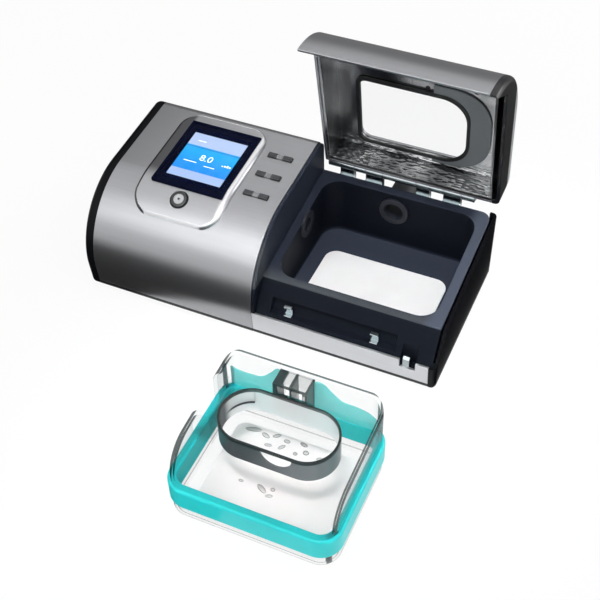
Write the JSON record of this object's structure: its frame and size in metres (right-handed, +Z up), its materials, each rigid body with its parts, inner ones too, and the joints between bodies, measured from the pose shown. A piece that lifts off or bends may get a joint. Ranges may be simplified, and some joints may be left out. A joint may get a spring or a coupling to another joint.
{
  "type": "bedside breathing machine with humidifier",
  "caption": "Long D-section bedside air-pressure machine with a raised display deck, slim buttons, an open windowed lid over a heated well, and a clear water chamber.",
  "frame": {"origin": "on the table, under the middle of the housing's length and depth, at the bottom of the middle foot", "axes": "+X to the viewer's right along the housing, +Y to the back, +Z up"},
  "size_m": [0.29, 0.3272, 0.205],
  "materials": {
    "dark_abs": "fine textured dark moulding",
    "steel_pin": "drawn steel",
    "grey_rubber": "soft moulded rubber",
    "silver_skin": "satin silver paint with a fine brushed grain",
    "dark_gloss": "polished dark end cap",
    "navy_plastic": "semi-gloss blue-black moulding",
    "silver_deck": "satin silver paint, a little brighter than the housing",
    "black_gloss": "polished black",
    "clear_lens": "flat clear window",
    "screen_face": "lit liquid crystal screen",
    "board_green": "solder-resist green",
    "button_grey": "satin grey",
    "key_dark": "satin dark grey",
    "chrome_trim": "bright plated",
    "plate_white": "bead-blasted, almost white",
    "element_foil": "etched foil track",
    "insulation_felt": "pressed felt",
    "liner_grey": "semi-gloss dark grey moulding",
    "clear_pane": "clear flat pane",
    "clear_plastic": "clear moulded plastic",
    "chamber_steel": "drawn stainless sheet",
    "teal_silicone": "soft silicone with a sheen",
    "baffle_grey": "smoked dark grey",
    "motor_can": "turned can",
    "white_plastic": "natural white moulding",
    "foam_grey": "open-cell foam",
    "filter_white": "pleated filter paper"
  },
  "bodies": {
    "housing": {"base_pan": "dark_abs", "base_screws": "steel_pin", "rubber_feet": "grey_rubber", "main_shell": "silver_skin", "left_end_cap": "dark_gloss", "rear_panel": "dark_abs", "dividing_wall": "navy_plastic", "control_platform": "silver_deck", "display_bezel": "black_gloss", "display_lens": "clear_lens", "display_module": "screen_face", "switch_board": "board_green", "humidifier_tub": "navy_plastic", "base_trim": "silver_skin", "latch_hook": "chrome_trim", "latch_catches": "chrome_trim", "right_end_cap": "dark_gloss", "heater_plate": "plate_white", "heater_element": "element_foil", "heater_insulation": "insulation_felt", "air_inlet_seal": "grey_rubber", "outlet_seal": "grey_rubber", "hose_connector": "dark_abs", "hinge_brackets": "chrome_trim", "hinge_pin": "steel_pin", "blower_lower_housing": "dark_abs", "blower_upper_housing": "dark_abs", "blower_motor": "motor_can", "blower_mounts": "grey_rubber", "delivery_duct": "grey_rubber", "inlet_muffler": "foam_grey", "air_filter": "filter_white", "main_board": "board_green", "power_inlet": "dark_abs"},
    "lid": {"lid_shell": "silver_skin", "lid_end_cap": "dark_gloss", "lid_liner": "liner_grey", "lid_window": "clear_pane", "lid_hinge_barrels": "chrome_trim", "lid_latch_hooks": "chrome_trim"},
    "chamber": {"chamber_tub": "clear_plastic", "chamber_base_plate": "chamber_steel", "chamber_seal": "teal_silicone"},
    "chamber_cover_body": {"chamber_cover": "clear_plastic", "baffle_ring": "baffle_grey", "outlet_duct": "clear_plastic"},
    "power_key": {"power_button": "button_grey"},
    "lower_key": {"lower_button": "key_dark"},
    "middle_key": {"middle_button": "key_dark"},
    "upper_key": {"upper_button": "key_dark"},
    "fan_wheel": {"impeller": "white_plastic", "impeller_shaft": "steel_pin"},
    "filter_door": {"filter_cover": "dark_abs"}
  },
  "joints": [
    {"name": "lid_hinge", "type": "hinge", "parent": "housing", "child": "lid", "pos_m": [0, 0.0722, 0.0695], "axis": [1, 0, 0], "range_deg": [0, 86]},
    {"name": "chamber_lift", "type": "slide", "parent": "housing", "child": "chamber", "axis": [0, 0, 1], "range_m": [0, 0.12]},
    {"name": "chamber_cover_lift", "type": "slide", "parent": "chamber", "child": "chamber_cover_body", "axis": [0, 0, 1], "range_m": [0, 0.05]},
    {"name": "power_press", "type": "slide", "parent": "housing", "child": "power_key", "axis": [0, 0.4195, -0.9078], "range_m": [0, 0.001], "stiffness_N_per_m": 150, "springref_m": -0.001},
    {"name": "lower_press", "type": "slide", "parent": "housing", "child": "lower_key", "axis": [0, 0.0698, -0.9976], "range_m": [0, 0.001], "stiffness_N_per_m": 150, "springref_m": -0.001},
    {"name": "middle_press", "type": "slide", "parent": "housing", "child": "middle_key", "axis": [0, 0.0698, -0.9976], "range_m": [0, 0.001], "stiffness_N_per_m": 150, "springref_m": -0.001},
    {"name": "upper_press", "type": "slide", "parent": "housing", "child": "upper_key", "axis": [0, 0.0698, -0.9976], "range_m": [0, 0.001], "stiffness_N_per_m": 150, "springref_m": -0.001},
    {"name": "fan_spin", "type": "hinge", "parent": "housing", "child": "fan_wheel", "pos_m": [-0.092, 0.014, 0.035], "axis": [0, 0, 1], "continuous": true},
    {"name": "filter_door_pull", "type": "slide", "parent": "housing", "child": "filter_door", "axis": [0, 1, 0], "range_m": [0, 0.025]}
  ]
}
